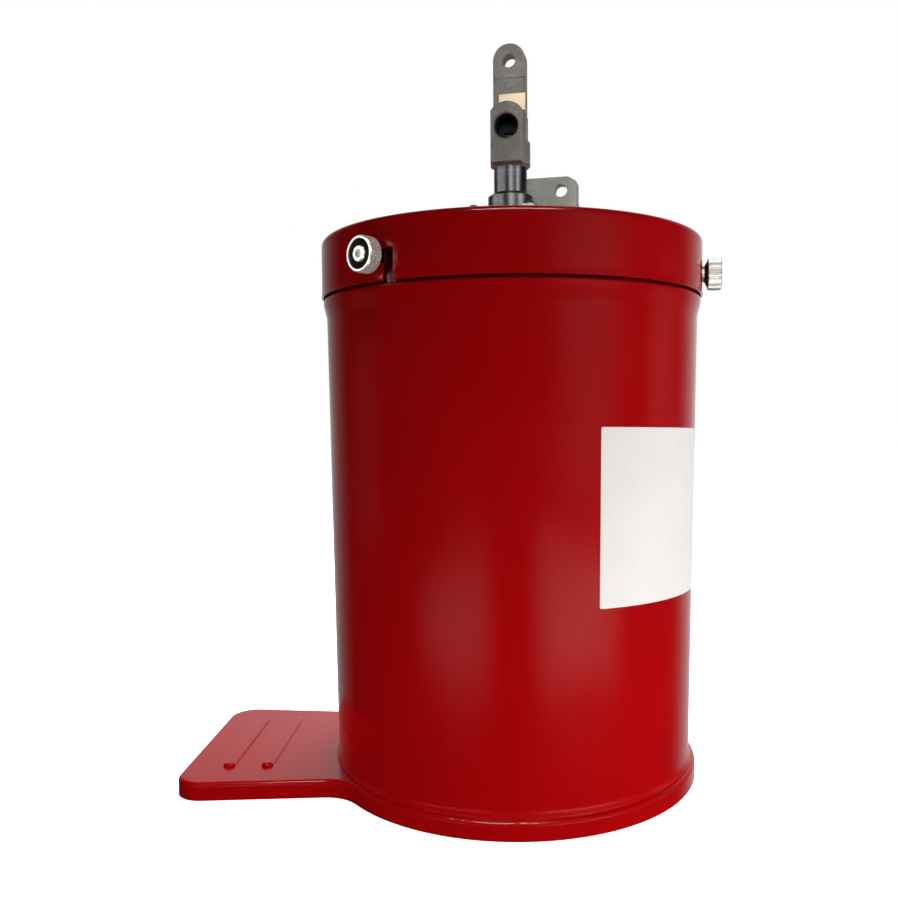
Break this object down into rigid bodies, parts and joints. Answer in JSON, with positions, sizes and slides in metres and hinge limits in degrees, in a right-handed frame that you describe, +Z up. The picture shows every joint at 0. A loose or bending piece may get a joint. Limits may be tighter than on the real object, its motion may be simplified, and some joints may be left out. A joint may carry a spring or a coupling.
{
  "type": "lever bucket pump",
  "caption": "Red steel bucket on a foot-plate tray with a bayonet lid and a hand pump for oil or grease; hose and lever not fitted.",
  "frame": {"origin": "bucket axis at floor level, under the base tray", "axes": "+Z up the bucket and pump axis, foot plate towards -X, hose port towards -Y (turned 11.5 degrees towards -X)"},
  "size_m": [0.3721, 0.2736, 0.5125],
  "materials": {
    "red_paint": "high-gloss red enamel",
    "forged_head": "blackened forging with fine scale",
    "turned_steel": "turned and blackened",
    "zinc_steel": "bright nickel",
    "black_plastic": "moulded black",
    "rubber_seal": "nitrile rubber",
    "label_vinyl": "blank white vinyl",
    "brass": "turned brass",
    "bracket_steel": "plain grey steel plate",
    "spring_steel": "ground steel",
    "galvanised_steel": "plain zinc-plated steel",
    "packing": "oiled packing"
  },
  "bodies": {
    "bucket": {"bucket_body": "red_paint", "bucket_bottom": "red_paint", "rim_nuts": "zinc_steel", "base_tray": "red_paint", "label_sticker": "label_vinyl"},
    "lid_assembly": {"lid": "red_paint", "lid_gasket": "rubber_seal", "pump_flange": "forged_head", "flange_gasket": "rubber_seal", "flange_bolts": "galvanised_steel", "flange_washers": "zinc_steel", "flange_nuts": "zinc_steel", "gland_nut": "turned_steel", "gland_packing": "packing", "pump_barrel": "galvanised_steel", "ball_stop_pin": "zinc_steel", "foot_valve_body": "brass", "inlet_strainer": "zinc_steel", "strainer_ring": "spring_steel", "fulcrum_bracket": "bracket_steel", "bracket_screws": "galvanised_steel", "bracket_washers": "zinc_steel"},
    "plunger_assembly": {"plunger_tube": "turned_steel", "pump_head": "forged_head", "piston_body": "brass", "piston_cup": "packing", "cup_washer": "zinc_steel", "piston_nut": "brass", "spring_seat": "zinc_steel", "discharge_spring": "spring_steel"},
    "discharge_ball": {"discharge_ball": "spring_steel"},
    "inlet_ball": {"inlet_ball": "spring_steel"},
    "thumbscrew_1_slider": {"thumbscrew_1_washer": "zinc_steel"},
    "thumbscrew_1_knob": {"thumbscrew_1_screw": "zinc_steel", "thumbscrew_1_knob": "zinc_steel", "thumbscrew_1_insert": "black_plastic", "thumbscrew_1_spacer": "black_plastic"},
    "thumbscrew_2_slider": {"thumbscrew_2_washer": "zinc_steel"},
    "thumbscrew_2_knob": {"thumbscrew_2_screw": "zinc_steel", "thumbscrew_2_knob": "zinc_steel", "thumbscrew_2_insert": "black_plastic", "thumbscrew_2_spacer": "black_plastic"},
    "thumbscrew_3_slider": {"thumbscrew_3_washer": "zinc_steel"},
    "thumbscrew_3_knob": {"thumbscrew_3_screw": "zinc_steel", "thumbscrew_3_knob": "zinc_steel", "thumbscrew_3_insert": "black_plastic", "thumbscrew_3_spacer": "black_plastic"}
  },
  "joints": [
    {"name": "lid_turn", "type": "hinge", "parent": "bucket", "child": "lid_assembly", "pos_m": [0, 0, 0.348], "axis": [0, 0, -1], "range_deg": [0, 4.7]},
    {"name": "pump_stroke", "type": "slide", "parent": "lid_assembly", "child": "plunger_assembly", "axis": [0, 0, 1], "range_m": [-0.015, 0.05]},
    {"name": "inlet_ball_lift", "type": "slide", "parent": "lid_assembly", "child": "inlet_ball", "axis": [0, 0, 1], "range_m": [0, 0.0035]},
    {"name": "discharge_ball_lift", "type": "slide", "parent": "plunger_assembly", "child": "discharge_ball", "axis": [0, 0, 1], "range_m": [0, 0.003], "stiffness_N_per_m": 60, "springref_m": -0.004, "deforming": ["discharge_spring"]},
    {"name": "thumbscrew_1_travel", "type": "slide", "parent": "bucket", "child": "thumbscrew_1_slider", "axis": [-0.6184, -0.7859, 0], "range_m": [0, 0.004]},
    {"name": "thumbscrew_1_turn", "type": "hinge", "parent": "thumbscrew_1_slider", "child": "thumbscrew_1_knob", "pos_m": [-0.08262, -0.10499, 0.3482], "axis": [-0.6184, -0.7859, 0], "range_deg": [0, 1445]},
    {"name": "thumbscrew_2_travel", "type": "slide", "parent": "bucket", "child": "thumbscrew_2_slider", "axis": [0.9898, -0.1426, 0], "range_m": [0, 0.004]},
    {"name": "thumbscrew_2_turn", "type": "hinge", "parent": "thumbscrew_2_slider", "child": "thumbscrew_2_knob", "pos_m": [0.13223, -0.01905, 0.3482], "axis": [0.9898, -0.1426, 0], "range_deg": [0, 1445]},
    {"name": "thumbscrew_3_travel", "type": "slide", "parent": "bucket", "child": "thumbscrew_3_slider", "axis": [-0.3714, 0.9285, 0], "range_m": [0, 0.004]},
    {"name": "thumbscrew_3_turn", "type": "hinge", "parent": "thumbscrew_3_slider", "child": "thumbscrew_3_knob", "pos_m": [-0.04961, 0.12405, 0.3482], "axis": [-0.3714, 0.9285, 0], "range_deg": [0, 1445]}
  ],
  "couplings": [
    {"joint": "thumbscrew_1_turn", "follows": "thumbscrew_1_travel", "rad_per_m": 6283.2},
    {"joint": "thumbscrew_2_turn", "follows": "thumbscrew_2_travel", "rad_per_m": 6283.2},
    {"joint": "thumbscrew_3_turn", "follows": "thumbscrew_3_travel", "rad_per_m": 6283.2}
  ]
}
